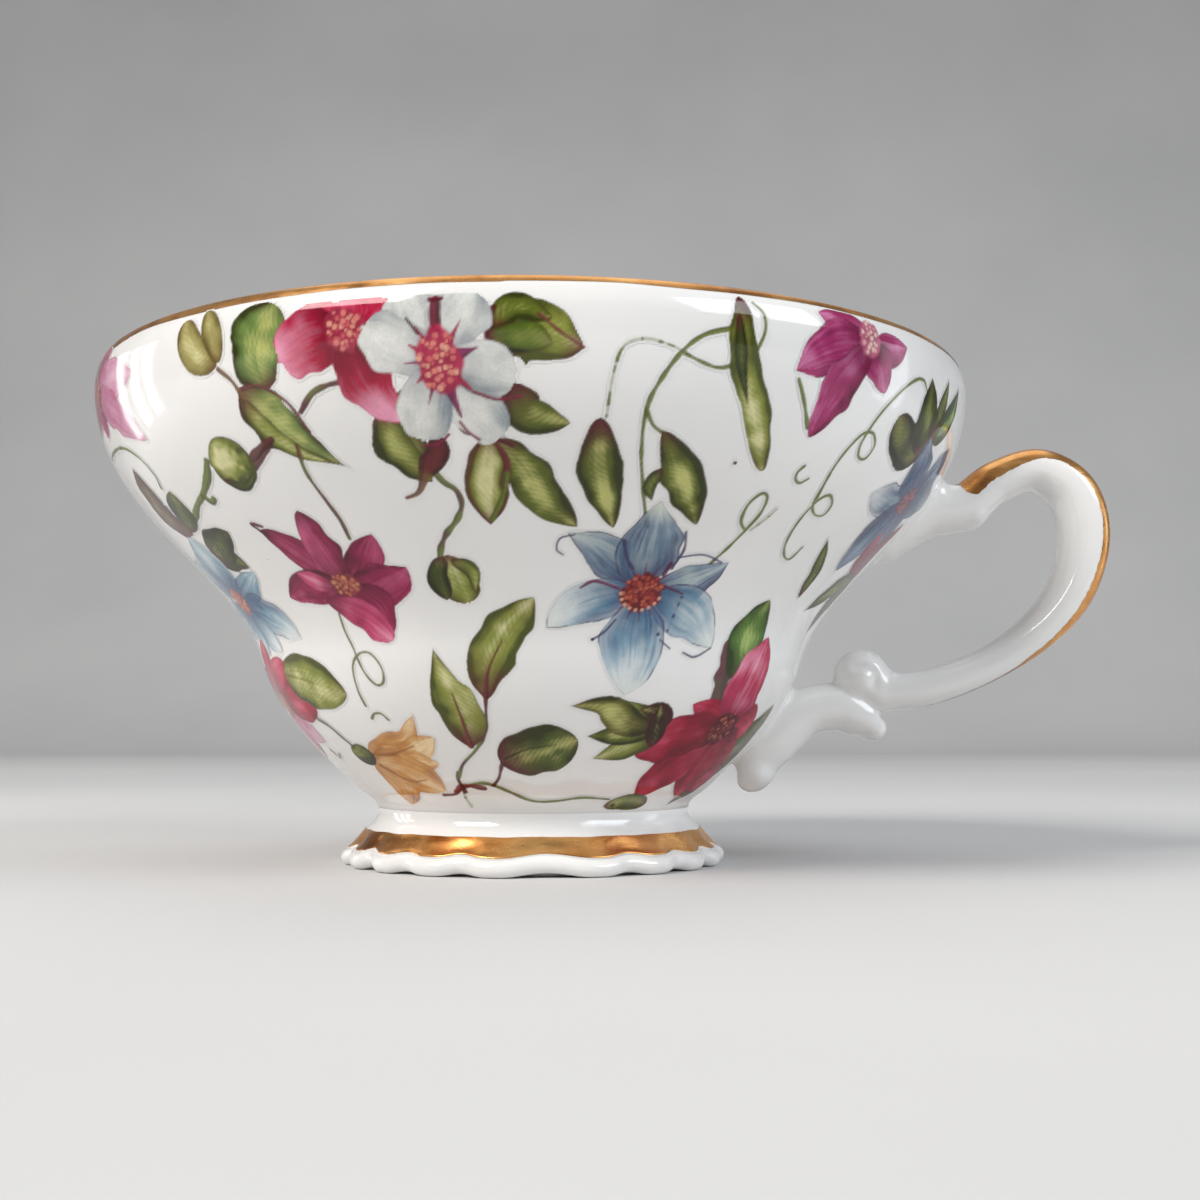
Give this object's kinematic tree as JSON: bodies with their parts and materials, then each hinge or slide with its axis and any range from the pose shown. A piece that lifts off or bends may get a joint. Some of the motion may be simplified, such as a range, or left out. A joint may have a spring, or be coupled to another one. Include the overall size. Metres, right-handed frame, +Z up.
{
  "type": "teacup",
  "caption": "Footed porcelain teacup with a flared bowl, a looped scroll handle, floral printed sides and a gilded rim, foot and handle.",
  "frame": {"origin": "centre of the foot's flat standing ring, on the cup's axis, at the height of the surface that it stands on", "axes": "+Z up along the cup's axis, +X towards the handle, -Y towards the viewer"},
  "size_m": [0.1199, 0.1022, 0.0567],
  "materials": {
    "porcelain": "gloss",
    "slip": "satin",
    "enamel_print": "gloss",
    "gilding": "polished"
  },
  "bodies": {
    "root": {"bowl": "porcelain", "foot": "porcelain", "foot_luting_slip": "slip", "handle": "porcelain", "upper_luting_slip": "slip", "lower_luting_slip": "slip", "floral_transfer": "enamel_print", "rim_gilding": "gilding", "foot_gilding": "gilding", "handle_gilding": "gilding"}
  },
  "joints": []
}
